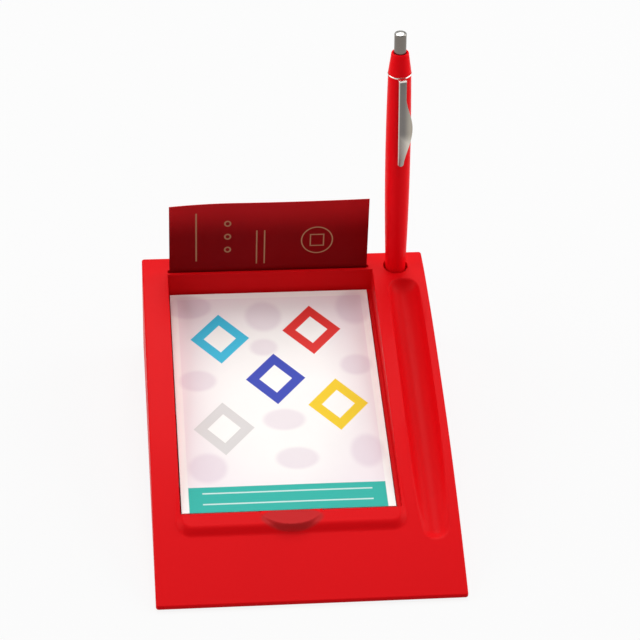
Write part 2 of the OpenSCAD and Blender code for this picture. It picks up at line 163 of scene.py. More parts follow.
def mathNode(tree, operation, first, second=None, third=None):
    node = addNode(tree, "ShaderNodeMath", operation=operation)
    for socket, value in zip(node.inputs, (first, second, third)):
        if isinstance(value, (int, float)):
            socket.default_value = value
        elif value is not None:
            tree.links.new(value, socket)
    return node.outputs[0]


def newGroup(name, inputs, outputs):
    group = bpy.data.node_groups.new(name, "ShaderNodeTree")
    for label, kind in inputs:
        group.interface.new_socket(label, in_out="INPUT", socket_type="NodeSocket" + kind)
    for label, kind in outputs:
        group.interface.new_socket(label, in_out="OUTPUT", socket_type="NodeSocket" + kind)
    start = group.nodes.new("NodeGroupInput")
    end = group.nodes.new("NodeGroupOutput")
    return group, start.outputs, end.inputs


def placeGroup(tree, group, **values):
    node = addNode(tree, "ShaderNodeGroup", node_tree=group)
    for label, value in values.items():
        if isinstance(value, bpy.types.NodeSocket):
            tree.links.new(value, node.inputs[label])
        else:
            node.inputs[label].default_value = value
    return node.outputs


def makeGrainGroup():  # slow tint drift, roughness drift and fine height for any finish
    group, given, result = newGroup(
        "surfaceGrain",
        [("Color", "Color"), ("Scale", "Float"), ("Tint", "Float"), ("Rough", "Float"), ("Spread", "Float"),
         ("Fine", "Float")],
        [("Color", "Color"), ("Roughness", "Float"), ("Height", "Float")])
    place = addNode(group, "ShaderNodeTexCoord").outputs["Object"]
    slow = addNode(group, "ShaderNodeTexNoise")
    slow.inputs["Detail"].default_value = 4
    fine = addNode(group, "ShaderNodeTexNoise")
    fine.inputs["Detail"].default_value = 2
    for node, label in ((slow, "Scale"), (fine, "Fine")):
        group.links.new(place, node.inputs["Vector"])
        group.links.new(given[label], node.inputs["Scale"])
    drift = mathNode(group, "SUBTRACT", slow.outputs["Fac"], 0.5)
    gain = mathNode(group, "MULTIPLY_ADD", drift, given["Tint"], 1.0)
    tinted = addNode(group, "ShaderNodeVectorMath", operation="SCALE")
    group.links.new(given["Color"], tinted.inputs[0])
    group.links.new(gain, tinted.inputs["Scale"])
    group.links.new(tinted.outputs[0], result["Color"])
    rough = mathNode(group, "MULTIPLY_ADD", drift, given["Spread"], given["Rough"])
    group.links.new(rough, result["Roughness"])
    group.links.new(fine.outputs["Fac"], result["Height"])
    return group


def makeInkGroup(name, shape):  # lays one ink over a ground inside a disc, a diamond or a bar
    group, given, result = newGroup(
        name,
        [("Ground", "Color"), ("Ink", "Color"), ("Place", "Vector"), ("Middle", "Vector"), ("Size", "Vector"),
         ("Soft", "Float"), ("Strength", "Float")],
        [("Color", "Color")])
    offset = addNode(group, "ShaderNodeVectorMath", operation="SUBTRACT")
    group.links.new(given["Place"], offset.inputs[0])
    group.links.new(given["Middle"], offset.inputs[1])
    parts = addNode(group, "ShaderNodeSeparateXYZ")
    size = addNode(group, "ShaderNodeSeparateXYZ")
    group.links.new(offset.outputs[0], parts.inputs[0])
    group.links.new(given["Size"], size.inputs[0])
    compare = "SUBTRACT" if shape == "bar" else "DIVIDE"
    across, along = (mathNode(group, compare, mathNode(group, "ABSOLUTE", parts.outputs[i]), size.outputs[i])
                     for i in range(2))
    if shape == "bar":
        beyond = mathNode(group, "MAXIMUM", across, along)
    else:
        if shape == "disc":
            squares = [mathNode(group, "MULTIPLY", share, share) for share in (across, along)]
            reach = mathNode(group, "SQRT", mathNode(group, "ADD", *squares))
        else:
            reach = mathNode(group, "ADD", across, along)
        beyond = mathNode(group, "MULTIPLY", mathNode(group, "SUBTRACT", reach, 1.0), size.outputs[0])
    edge = addNode(group, "ShaderNodeMapRange", interpolation_type="SMOOTHSTEP")
    group.links.new(beyond, edge.inputs["Value"])
    group.links.new(mathNode(group, "MULTIPLY", given["Soft"], -1.0), edge.inputs["From Min"])
    group.links.new(given["Soft"], edge.inputs["From Max"])
    edge.inputs["To Min"].default_value = 1
    edge.inputs["To Max"].default_value = 0
    share = mathNode(group, "MULTIPLY", edge.outputs["Result"], given["Strength"])
    blend = addNode(group, "ShaderNodeMix", data_type="RGBA")
    group.links.new(share, blend.inputs["Factor"])
    group.links.new(given["Ground"], blend.inputs[6])  # the two colour sockets of the mix
    group.links.new(given["Ink"], blend.inputs[7])
    group.links.new(blend.outputs[2], result["Color"])
    return group


grainGroup = makeGrainGroup()
discInk = makeInkGroup("discInk", "disc")
diamondInk = makeInkGroup("diamondInk", "diamond")
barInk = makeInkGroup("barInk", "bar")
print("node groups made")


def layInks(tree, place, color, inks):  # one over the other, each with its shape, tone and place
    for group, tone, middle, size, soft, strength in inks:
        color = placeGroup(tree, group, Ground=color, Ink=(*tone, 1), Place=place, Middle=(*middle, 0),
                           Size=(*size, 1), Soft=soft, Strength=strength)["Color"]
    return color


def mapPlace(tree, mapName, wide, high):  # place on a flat piece in millimetres from its lower left corner
    place = addNode(tree, "ShaderNodeVectorMath", operation="MULTIPLY")
    tree.links.new(addNode(tree, "ShaderNodeUVMap", uv_map=mapName).outputs[0], place.inputs[0])
    place.inputs[1].default_value = (wide, high, 1)
    return place.outputs[0]


def startMaterial(name):
    material = bpy.data.materials.new(name)
    material.use_nodes = True
    return material, material.node_tree, material.node_tree.nodes["Principled BSDF"]


def finishSurface(tree, shader, color, look):  # grain over a colour or a colour socket
    grain = placeGroup(tree, grainGroup, Color=color, Scale=look["scale"], Tint=look["tint"],
                       Rough=look["rough"], Spread=look["spread"], Fine=look["fine"])
    tree.links.new(grain["Color"], shader.inputs["Base Color"])
    tree.links.new(grain["Roughness"], shader.inputs["Roughness"])
    bump = addNode(tree, "ShaderNodeBump")
    bump.inputs["Strength"].default_value = look["bump"]
    bump.inputs["Distance"].default_value = look["depth"] * mm
    tree.links.new(grain["Height"], bump.inputs["Height"])
    tree.links.new(bump.outputs["Normal"], shader.inputs["Normal"])


def plainMaterial(name, look):
    material, tree, shader = startMaterial(name)
    shader.inputs["Metallic"].default_value = look.get("metal", 0.0)
    shader.inputs["Specular IOR Level"].default_value = look.get("shine", 0.5)
    finishSurface(tree, shader, (*look["color"], 1), look)
    return material


looks = {
    "redPen": {"color": (0.95, 0.003, 0.008), "scale": 30, "tint": 0.08, "rough": 0.30, "spread": 0.08,
               "fine": 1800, "bump": 0.05, "depth": 0.02, "shine": 0.04},
    "darkCover": {"color": (0.36, 0.006, 0.010), "scale": 22, "tint": 0.2, "rough": 0.55, "spread": 0.15,
                  "fine": 1500, "bump": 0.5, "depth": 0.06, "shine": 0.4},
    "screwSteel": {"color": (0.52, 0.52, 0.5), "scale": 300, "tint": 0.3, "rough": 0.32, "spread": 0.2,
                   "fine": 2500, "bump": 0.2, "depth": 0.02, "metal": 1.0},
    "footRubber": {"color": (0.022, 0.022, 0.023), "scale": 120, "tint": 0.4, "rough": 0.8, "spread": 0.15,
                   "fine": 1200, "bump": 0.6, "depth": 0.06, "shine": 0.3},
    "greyBoard": {"color": (0.40, 0.36, 0.29), "scale": 500, "tint": 0.5, "rough": 0.9, "spread": 0.1,
                  "fine": 1800, "bump": 0.5, "depth": 0.05, "shine": 0.2},
    "sheetPaper": {"color": (0.86, 0.85, 0.82), "scale": 260, "tint": 0.08, "rough": 0.85, "spread": 0.1,
                   "fine": 2200, "bump": 0.3, "depth": 0.02, "shine": 0.2},
    "padGlue": {"color": (0.84, 0.82, 0.78), "scale": 140, "tint": 0.12, "rough": 0.5, "spread": 0.2,
                "fine": 700, "bump": 0.5, "depth": 0.06, "shine": 0.4},
    "innerPlastic": {"color": (0.80, 0.78, 0.72), "scale": 90, "tint": 0.1, "rough": 0.45, "spread": 0.15,
                     "fine": 1600, "bump": 0.15, "depth": 0.02, "shine": 0.4},
    "refillBrass": {"color": (0.58, 0.40, 0.13), "scale": 400, "tint": 0.25, "rough": 0.3, "spread": 0.15,
                    "fine": 3000, "bump": 0.1, "depth": 0.01, "metal": 1.0},
    "ballSteel": {"color": (0.5, 0.5, 0.5), "scale": 900, "tint": 0.2, "rough": 0.25, "spread": 0.1,
                  "fine": 6000, "bump": 0.1, "depth": 0.005, "metal": 1.0},
    "springSteel": {"color": (0.48, 0.48, 0.5), "scale": 700, "tint": 0.3, "rough": 0.3, "spread": 0.15,
                    "fine": 5000, "bump": 0.15, "depth": 0.005, "metal": 1.0},
}
finishes = {name: plainMaterial(name, look) for name, look in looks.items()}
print("plain finishes made", len(finishes))


# base: arched shell, in the part's own millimetres

shell = {"frontHeight": 2.4, "backHeight": 49.4, "archRise": 7.25, "cornerRound": 1.2, "topRound": 0.7,
         "bottomRound": 0.35, "plateDepth": 2.4, "plateWall": 2.4, "plateFrontWall": 8.1, "plateRoom": 0.02,
         "plateBelow": 5.0, "screwHead": 2.8, "screwRadius": 1.45, "screwReach": 5.05, "screwBelow": 1.0,
         "sharpAngle": 62,
         "look": {"color": (0.74, 0.003, 0.006), "scale": 18, "tint": 0.10, "rough": 0.42, "spread": 0.12,
                  "fine": 2600, "bump": 0.12, "depth": 0.03, "shine": 0.06}}
baseLow, baseHigh = boxMm("base_shell")
baseDepth = baseHigh.y - baseLow.y


def archCircle():
    climb = shell["backHeight"] - shell["frontHeight"]
    chord = math.hypot(baseDepth, climb)
    lean = math.atan2(climb, baseDepth)
    radius = (chord * chord / 4 + shell["archRise"] ** 2) / (2 * shell["archRise"])
    drop = radius - shell["archRise"]
    middleHeight = (shell["frontHeight"] + shell["backHeight"]) / 2
    return radius, drop * math.sin(lean), middleHeight - drop * math.cos(lean)


archRadius, archMiddleY, archMiddleZ = archCircle()


def archZ(y):
    return archMiddleZ + math.sqrt(archRadius ** 2 - (y - archMiddleY) ** 2)


def nearTop(spot, depth):
    return spot.z > archZ(spot.y) - depth


# frames of the tilted tray and of the leaning pen, read from the joints

sheet = {"thickness": 0.2, "paper": 0.12, "under": 0.16, "margin": 3.2, "bareStrip": 0.012,
         "wave": 0.12, "waveRate": 0.09, "waveStart": 0.8, "waveRise": 0.6, "waveSwing": 0.5}
padLow, padHigh = boxMm("pad_cover")
trayTilt = math.atan2(-joints["pad_lift"]["axis"][1], joints["pad_lift"]["axis"][2])
padWidth = padHigh.x - padLow.x
padLength = (padHigh.y - padLow.y - sheet["thickness"] * math.sin(trayTilt)) / math.cos(trayTilt)
padPlace = Vector(((padLow.x + padHigh.x) / 2, padLow.y,
                   padLow.z + sheet["thickness"] * math.cos(trayTilt)))
trayFrame = Matrix.Translation(padPlace) @ Matrix.Rotation(trayTilt, 4, "X")
trayUp = (trayFrame.to_3x3() @ upright).normalized()

pen = {"fromRight": 12.8, "fromBack": 9.8, "turnSteps": 72}
penLean = math.atan2(-joints["pen_lift"]["axis"][0], joints["pen_lift"]["axis"][2])
penY = baseHigh.y - pen["fromBack"]
penFoot = Vector((baseHigh.x - pen["fromRight"], penY, archZ(penY)))
penFrame = Matrix.Translation(penFoot) @ Matrix.Rotation(-penLean, 4, "Y")

tray = {"leftGap": 0.7, "rightGap": 2.2, "frontGap": 1.7, "floorDrop": 6.2, "ledgeDrop": 1.3, "ledgeGap": 0.5,
        "ledgeBack": 0.2, "backLand": 12.1, "cornerRound": 1.2, "mouthRound": 0.3, "headroom": 70.0,
        "pastPad": 30.0}
trayLeft = -padWidth / 2 - tray["leftGap"]
trayRight = padWidth / 2 + tray["rightGap"]
trayMiddle = (trayLeft + trayRight) / 2
trayHalf = (trayRight - trayLeft) / 2
trayBackY = baseHigh.y - tray["backLand"]
trayX = padPlace.x + trayMiddle  # middle of the tray across the base


# moulded forms of the top: front rim, half-round thumb rest and pen groove

rim = {"reach": 9.0, "height": -0.2, "slope": 63.0, "pastTray": 0.3, "cornerRound": 5.0, "topBend": 4.4,
       "footBend": 5.6}
# the thumb rest's paler, pinker patch set below is a painted sheen
thumb = {"width": 27.0, "reach": 10.0, "tilt": 12.0, "over": 0.2, "gap": 0.4, "wall": 0.5,
         "paintedSheen": (0.52, 0.018, 0.020), "paintedSheenSize": (12.8, 5.4), "paintedSheenLap": 0.5, "paintedSheenSoft": 1.2}
thumbRadius = (thumb["width"] ** 2 / 4 + thumb["reach"] ** 2) / (2 * thumb["reach"])
groove = {"fromRight": 10.7, "radius": 7.0, "backDrop": 4.0, "frontDrop": 2.2, "fromBack": 17.0,
          "fromFront": 29.0, "edgeBend": 1.5}
grooveX = baseHigh.x - groove["fromRight"]
grooveStart = baseLow.y + groove["fromFront"]
grooveEnd = baseHigh.y - groove["fromBack"]
grooveFoot = archZ(grooveStart) - groove["frontDrop"]
grooveHead = archZ(grooveEnd) - groove["backDrop"]
grooveClimb = math.atan2(grooveHead - grooveFoot, grooveEnd - grooveStart)
grooveRun = math.hypot(grooveHead - grooveFoot, grooveEnd - grooveStart) - groove["radius"]


def softMin(first, second, bend):
    near = max(bend - abs(first - second), 0.0) / bend
    return min(first, second) - near * near * bend / 4


def softMax(first, second, bend):
    return -softMin(-first, -second, bend)


def trayPlane(y, lift, lean=0.0):  # height of a plane through the pad's front edge
    tilt = trayTilt - math.radians(lean)
    return padPlace.z + lift / math.cos(tilt) + (y - padPlace.y) * math.tan(tilt)


def rimZ(x, y):  # a level top with a sloping face round its front and its rounded corners
    edge = trayFrame @ Vector((0, -rim["reach"], rim["height"]))
    bend = rim["cornerRound"]
    aside = abs(x - trayX) - trayHalf - rim["pastTray"] + bend
    ahead = edge.y + bend - y
    past = math.hypot(max(aside, 0.0), max(ahead, 0.0)) + min(max(aside, ahead), 0.0) - bend
    fall = math.tan(trayTilt + math.radians(rim["slope"])) - math.tan(trayTilt)
    top = trayPlane(y, rim["height"])
    return softMin(top, top - past * fall, rim["topBend"])


def grooveZ(x, y):  # lower side of a trough with round ends
    radius = groove["radius"]
    room = radius ** 2 - (x - grooveX) ** 2
    across = y - grooveStart + radius * math.sin(grooveClimb)
    middle = grooveFoot + radius * math.cos(grooveClimb)
    deep = math.sqrt(max(room, 0.0))
    low = (across * math.sin(grooveClimb) - deep) / math.cos(grooveClimb)
    along = across * math.cos(grooveClimb) + low * math.sin(grooveClimb)
    if 0 < along < grooveRun:
        return middle + low
    end = 0.0 if along < 0 else grooveRun
    ahead = across - end * math.cos(grooveClimb)
    return middle + end * math.sin(grooveClimb) - math.sqrt(max(room - ahead ** 2, 0.0))


def topZ(x, y):
    z = softMax(archZ(y), rimZ(x, y), rim["footBend"])
    middle = Vector((trayX, padPlace.y + thumbRadius - thumb["reach"]))
    outside = (Vector((x, y)) - middle).length - thumbRadius
    share = min(max(outside / thumb["wall"] / 2 + 0.5, 0.0), 1.0)
    share = share * share * (3 - 2 * share)  # smooth step across the thumb rest's wall
    z = z * share + trayPlane(y, thumb["over"], thumb["tilt"]) * (1 - share)
    return softMin(z, grooveZ(x, y), groove["edgeBend"])


slot = {"thickness": 1.8, "endGap": 0.8, "under": 0.3, "endRound": 0.5, "mouthRound": 0.3}
cardLow, cardHigh = boxMm("name_card")
cardMiddle = (cardLow + cardHigh) / 2
cardWide, cardThick, cardTall = cardHigh - cardLow

# zones of the top (start, end, step): close where the forms bend, one wide cell under each cut edge
leftWall, rightWall, padFront = trayX - trayHalf, trayX + trayHalf, padPlace.y
stations = {
    "x": [(baseLow.x, baseLow.x + 3.0, 3.0),
          (leftWall - 3.5, leftWall - 0.7, 0.35), (leftWall - 0.7, leftWall + 0.7, 1.4),
          (leftWall + 0.7, leftWall + 5.9, 0.4), (trayX - 15.25, trayX + 15.25, 0.3),
          (rightWall - 5.9, rightWall - 0.7, 0.4), (rightWall - 0.7, rightWall + 0.7, 1.4),
          (rightWall + 0.7, grooveX - 8.2, 0.35), (grooveX - 8.2, baseHigh.x - 3.0, 0.45),
          (baseHigh.x - 3.0, baseHigh.x, 3.0)],
    "y": [(baseLow.y, baseLow.y + 2.6, 2.6),
          (padFront - 19.62, padFront - 2.52, 0.3), (padFront - 2.52, padFront + 0.48, 3.0),
          (grooveEnd - 10.0, grooveEnd + 1.4, 0.45), (trayBackY - 1.9, trayBackY + 0.8, 2.7),
          (trayBackY + 0.8, cardMiddle.y + 2.0, 3.5), (cardMiddle.y + 2.0, baseHigh.y - 2.8, 5.0),
          (baseHigh.y - 2.8, baseHigh.y, 2.8)],
    "wide": 6.0,
}


def spread(zones):
    places = [round(zones[0][0], 2)]
    for start, end, step in zones:
        for stop, pace in ((start, stations["wide"]), (end, step)):
            first, last = places[-1], round(stop, 2)
            count = max(1, round((last - first) / pace)) if last - first > 0.001 else 0
            places += [first + (last - first) * (i + 1) / count for i in range(count)]
    return places


def betweenFlatCells(edge):  # two cells side by side that lie in one plane
    first, second = edge.verts
    lengthwise = abs(first.co.x - second.co.x) < 0.001 and abs(first.co.y - second.co.y) > 0.1
    return lengthwise and edgeAngle(edge) < 0.01


def sideEdges(bm, facing):  # edges where the sides meet the top (1) or the bottom (-1)
    chosen = []
    for edge in bm.edges:
        tilts = sorted(face.normal.z * facing for face in edge.link_faces)
        if len(tilts) == 2 and abs(tilts[0]) < 0.3 and tilts[1] > 0.8:
            chosen.append(edge)
    return chosen


def archBody():
    bm = bmesh.new()
    placesX, placesY = spread(stations["x"]), spread(stations["y"])
    lastX, lastY = len(placesX) - 1, len(placesY) - 1
    bmesh.ops.create_grid(bm, x_segments=lastX, y_segments=lastY, size=0.5)
    for vert in bm.verts:
        x = placesX[round((vert.co.x + 0.5) * lastX)]
        y = placesY[round((vert.co.y + 0.5) * lastY)]
        vert.co = (x, y, topZ(x, y))
    border = [edge for edge in bm.edges if edge.is_boundary]
    skirt = bmesh.ops.extrude_edge_only(bm, edges=border)["geom"]
    for vert in [part for part in skirt if isinstance(part, bmesh.types.BMVert)]:
        vert.co.z = baseLow.z
    closeHoles(bm, [edge for edge in bm.edges if edge.is_boundary])
    spare = [edge for edge in bm.edges if betweenFlatCells(edge)]
    bmesh.ops.dissolve_edges(bm, edges=spare, use_verts=True)
    corners = [edge for edge in bm.edges if isUpright(edge) and edgeAngle(edge) > 60]
    roundEdges(bm, corners, shell["cornerRound"], 5)
    roundEdges(bm, sideEdges(bm, 1), shell["topRound"], 4)
    roundEdges(bm, sideEdges(bm, -1), shell["bottomRound"], 2)
    return bm


def pocketTool(plan, floor, back):  # one level of the tray, open upwards
    bm = bmesh.new()
    raiseFace(bm, outlineFace(bm, [(x, y, -floor) for x, y in plan]), (0, 0, tray["headroom"]))
    corners = [edge for edge in bm.edges if isUpright(edge) and abs(midPoint(edge).x) > thumb["width"]]
    roundEdges(bm, corners, tray["cornerRound"], 4)
    bmesh.ops.transform(bm, matrix=trayFrame, verts=bm.verts)
    cut = bmesh.ops.bisect_plane(bm, geom=bm.verts[:] + bm.edges[:] + bm.faces[:], plane_co=(0, back, 0),
                                 plane_no=(0, 1, 0), clear_outer=True)
    closeHoles(bm, [part for part in cut["geom_cut"] if isinstance(part, bmesh.types.BMEdge)])
    return pieceMesh(bm, "pocketTool")


def trayTools():  # a wide mouth round the thumb rest, and a close pocket for the pad below its ledge
    close, front, far = tray["ledgeGap"], -tray["frontGap"], padLength + tray["pastPad"]
    half = math.sqrt(thumbRadius ** 2 - (thumbRadius - thumb["reach"] - front) ** 2)
    mouth = [(trayLeft, far), (trayLeft, front), (trayMiddle - half, front),
             (trayMiddle - half, -thumb["gap"]), (trayMiddle + half, -thumb["gap"]),
             (trayMiddle + half, front), (trayRight, front), (trayRight, far)]
    side = padWidth / 2 + close
    pocket = [(-side, far), (-side, -close), (side, -close), (side, far)]
    return [pocketTool(mouth, tray["ledgeDrop"], trayBackY),
            pocketTool(pocket, tray["floorDrop"], trayBackY - tray["ledgeBack"])]


def blockTool(name, low, high, endRound=0.0):
    bm = bmesh.new()
    bmesh.ops.create_cube(bm, size=1.0)
    bmesh.ops.scale(bm, vec=Vector(high) - Vector(low), verts=bm.verts)
    bmesh.ops.translate(bm, vec=(Vector(high) + Vector(low)) / 2, verts=bm.verts)
    if endRound:
        roundEdges(bm, [edge for edge in bm.edges if isUpright(edge)], endRound, 3)
    return pieceMesh(bm, name)


def slotTool():
    reach = cardWide / 2 + slot["endGap"]
    low = (cardMiddle.x - reach, cardMiddle.y - slot["thickness"] / 2, cardLow.z - slot["under"])
    high = (cardMiddle.x + reach, cardMiddle.y + slot["thickness"] / 2, cardHigh.z)
    return blockTool("slotTool", low, high, slot["endRound"])


def plateTool():
    wall = shell["plateWall"]
    low = (baseLow.x + wall, baseLow.y + shell["plateFrontWall"], -shell["plateBelow"])
    high = (baseHigh.x - wall, baseHigh.y - wall, baseLow.z + shell["plateDepth"] + shell["plateRoom"])
    return blockTool("plateTool", low, high)


socket = {"radius": 4.81, "reliefRadius": 2.8, "step": -15.24, "bottom": -26.0, "mouthRadius": 5.4,
          "mouthDepth": 3.5, "mouthRound": 0.3, "headroom": 30.0, "turnSteps": 64}


def socketTool():
    profile = [(0, socket["bottom"]), (socket["reliefRadius"], socket["bottom"]),
               (socket["reliefRadius"], socket["step"]), (socket["radius"], socket["step"]),
               (socket["radius"], -socket["mouthDepth"]), (socket["mouthRadius"], -socket["mouthDepth"]),
               (socket["mouthRadius"], socket["headroom"]), (0, socket["headroom"])]
    bm = turnProfile(profile, socket["turnSteps"])
    bmesh.ops.transform(bm, matrix=penFrame, verts=bm.verts)
    return pieceMesh(bm, "socketTool")


def screwTools():
    screwLow, screwHigh = boxMm("cover_screws")
    head, radius = shell["screwHead"], shell["screwRadius"]
    top = baseLow.z + shell["plateDepth"] + shell["screwReach"]
    tools = []
    for x in (screwLow.x + head, screwHigh.x - head):
        for y in (screwLow.y + head, screwHigh.y - head):
            bm = bmesh.new()
            bmesh.ops.create_cone(bm, cap_ends=True, segments=24, radius1=radius, radius2=radius,
                                  depth=top + shell["screwBelow"])
            bmesh.ops.translate(bm, vec=(x, y, (top - shell["screwBelow"]) / 2), verts=bm.verts)
            tools.append(pieceMesh(bm, "screwTool"))
    return tools


def sharpOnTop(bm, inside, least=28):
    def chosen(edge):
        outward = len(edge.link_faces) == 2 and edgeAngle(edge) > least and edge.is_convex
        return outward and inside(midPoint(edge))
    return [edge for edge in bm.edges if chosen(edge)]


def atSocket(spot):
    return (penFrame.inverted() @ spot).xy.length < socket["mouthRadius"] + 0.8 and nearTop(spot, 1)


def atSlot(spot):
    near = abs(spot.y - cardMiddle.y) < slot["thickness"] and abs(spot.x - cardMiddle.x) < cardWide / 2 + 5
    return near and nearTop(spot, 1)


def atMouth(spot):  # along the sides and the back of the tray
    local = trayFrame.inverted() @ spot
    inTray = local.y > 2 and abs(local.x - trayMiddle) < trayHalf + 0.3 and spot.y < trayBackY + 0.3
    return inTray and nearTop(spot, 1.6)


def shellMaterial():  # the shell's red with a painted sheen: a duller, paler patch on the thumb rest
    look = shell["look"]
    material, tree, shader = startMaterial("redShell")
    shader.inputs["Specular IOR Level"].default_value = look["shine"]
    place = addNode(tree, "ShaderNodeVectorMath", operation="SCALE")
    tree.links.new(addNode(tree, "ShaderNodeTexCoord").outputs["Object"], place.inputs[0])
    place.inputs["Scale"].default_value = 1 / mm
    middle = (trayX, padPlace.y - thumb["paintedSheenSize"][1] + thumb["paintedSheenLap"])
    paintedSheen = (discInk, thumb["paintedSheen"], middle, thumb["paintedSheenSize"], thumb["paintedSheenSoft"], 1.0)
    color = layInks(tree, place.outputs[0], (*look["color"], 1), [paintedSheen])
    finishSurface(tree, shader, color, look)
    return material


def makeShell():
    body = pieceMesh(archBody(), "shellBody")
    bm = carve(body, trayTools() + [slotTool(), socketTool(), plateTool()] + screwTools())
    bmesh.ops.remove_doubles(bm, verts=bm.verts, dist=0.05)
    bmesh.ops.dissolve_degenerate(bm, edges=bm.edges, dist=0.02)
    roundEdges(bm, sharpOnTop(bm, atSocket), socket["mouthRound"], 3)
    roundEdges(bm, sharpOnTop(bm, atSlot), slot["mouthRound"], 2)
    roundEdges(bm, sharpOnTop(bm, atMouth, 50), tray["mouthRound"], 3)
    obj = finishPiece(bm, "redBase", "base", shellMaterial(), ["base_shell"],
                      shell["sharpAngle"])
    even = obj.modifiers.new("evenNormals", "WEIGHTED_NORMAL")
    even.keep_sharp = True


makeShell()


# memo pad: a block of loose-edged sheets with a printed one on top

block = {"slabs": 34, "shuffle": 0.128, "skip": 0.3, "share": 0.9, "under": 0.3}


def blankBack(bm, mapName, facing):  # moves the unprinted side's map into a bare margin
    bm.normal_update()
    spots = bm.loops.layers.uv[mapName]
    for loop in [loop for face in bm.faces if face.normal.dot(facing) > 0.3 for loop in face.loops]:
        loop[spots].uv.x = sheet["bareStrip"]


def makeBlock():
    low, high = boxMm("pad_sheets")
    thick = ((high.z - low.z) - padLength * math.sin(trayTilt)) / math.cos(trayTilt) / block["slabs"]
    slabSize = (padWidth - block["skip"], padLength - block["skip"], thick * block["share"])
    bm = bmesh.new()
    for i in range(block["slabs"]):
        slab = bmesh.ops.create_cube(bm, size=1.0)["verts"]
        bmesh.ops.scale(bm, vec=slabSize, verts=slab)
        aside = block["shuffle"] * math.sin(12.9 * i)  # an even-looking shuffle, the same each run
        ahead = block["shuffle"] * math.sin(7.7 * i + 1.3)
        place = (aside, padLength / 2 + ahead, -block["under"] - thick * (i + 0.5))
        bmesh.ops.translate(bm, vec=place, verts=slab)
    bmesh.ops.transform(bm, matrix=trayFrame, verts=bm.verts)
    finishPiece(bm, "sheetBlock", "pad", finishes["sheetPaper"], ["pad_sheets"])


# inks of the top sheet, with places in millimetres from its lower left corner
ink = {
    # the pinkish tint round the printed field is partly the sheet's print and partly painted shade
    "paper": (0.95, 0.93, 0.90), "blushAndShade": (0.80, 0.62, 0.72), "teal": (0.03, 0.45, 0.38),
    "lilac": (0.60, 0.42, 0.55), "rule": (0.60, 0.80, 0.76),
    "blushAndShadeStrength": 0.42, "glow": ((0.5, 0.52), (34, 54), 16, 0.9),
    "frames": [((21, 99), (0.05, 0.50, 0.72)), ((62, 103), (0.74, 0.035, 0.03)),
               ((44, 74), (0.045, 0.07, 0.46)), ((70, 58), (0.88, 0.60, 0.02)),
               ((20, 46), (0.70, 0.67, 0.66))],
    "frameSize": (13.0, 15.0), "frameLine": 0.55,
    "clouds": [((8, 119), (10, 7)), ((41, 112), (8, 9)), ((82, 116), (8, 10)), ((40, 93), (6, 5)),
               ((10, 74), (8, 6)), ((80, 81), (7, 6)), ((46, 50), (9, 6)), ((12, 24), (8, 8)),
               ((50, 28), (9, 6)), ((80, 31), (7, 9))],
    "cloudSoft": 1.6, "cloudStrength": 0.30,
    "bandHeight": 13.6, "ruleHeights": (4.4, 10.2), "ruleInset": 9.0, "ruleHalf": 0.35,
    "marginSoft": 0.3, "crisp": 0.2,
    "look": {"scale": 60, "tint": 0.05, "rough": 0.5, "spread": 0.1, "fine": 2600, "bump": 0.1, "depth": 0.01,
             "shine": 0.15},
}


def sheetInks():
    across, along = padWidth / 2, padLength / 2
    inner = (across - sheet["margin"], along - sheet["margin"])
    (shareX, shareY), size, soft, strength = ink["glow"]  # a paper-coloured disc that clears the pinkish tint and painted shade from the middle of the sheet
    # pinkish tint, partly print and partly painted shade
    inks = [(barInk, ink["blushAndShade"], (across, along), inner, ink["marginSoft"], ink["blushAndShadeStrength"]),
            (discInk, ink["paper"], (padWidth * shareX, padLength * shareY), size, soft, strength)]
    for spot, size in ink["clouds"]:
        inks.append((discInk, ink["lilac"], spot, size, ink["cloudSoft"], ink["cloudStrength"]))
    outer = ink["frameSize"]
    inside = [half * ink["frameLine"] for half in outer]
    for spot, tone in ink["frames"]:
        inks += [(diamondInk, tone, spot, outer, ink["crisp"], 1.0),
                 (diamondInk, ink["paper"], spot, inside, ink["crisp"], 1.0)]
    inks.append((barInk, ink["teal"], (across, 0), (inner[0], ink["bandHeight"]), ink["crisp"], 1.0))
    for height in ink["ruleHeights"]:
        size = (across - ink["ruleInset"], ink["ruleHalf"])
        inks.append((barInk, ink["rule"], (across, height), size, ink["crisp"], 1.0))
    return inks


def printMaterial():
    material, tree, shader = startMaterial("printedSheet")
    shader.inputs["Specular IOR Level"].default_value = ink["look"]["shine"]
    place = mapPlace(tree, "sheetPlace", padWidth, padLength)
    color = layInks(tree, place, (*ink["paper"], 1), sheetInks())
    finishSurface(tree, shader, color, ink["look"])
    return material


def makeTopSheet():
    bm = bmesh.new()
    bm.loops.layers.uv.new("sheetPlace")
    bmesh.ops.create_grid(bm, x_segments=24, y_segments=32, size=0.5, calc_uvs=True)
    bmesh.ops.scale(bm, vec=(padWidth, padLength, 1), verts=bm.verts)
    bmesh.ops.translate(bm, vec=(0, padLength / 2, -sheet["under"]), verts=bm.verts)
    for vert in bm.verts:
        free = 1 - vert.co.y / padLength  # loose end at the front, glued end at the back
        swing = sheet["waveSwing"] * math.sin(vert.co.x * sheet["waveRate"] + sheet["waveStart"])
        vert.co.z += sheet["wave"] * free * free * (sheet["waveRise"] + swing)
    bmesh.ops.transform(bm, matrix=trayFrame, verts=bm.verts)
    bmesh.ops.recalc_face_normals(bm, faces=bm.faces)
    bmesh.ops.solidify(bm, geom=bm.faces, thickness=sheet["paper"])
    blankBack(bm, "sheetPlace", -trayUp)
    finishPiece(bm, "topSheet", "top_sheet", printMaterial(), ["pad_cover"])


makeBlock()
makeTopSheet()
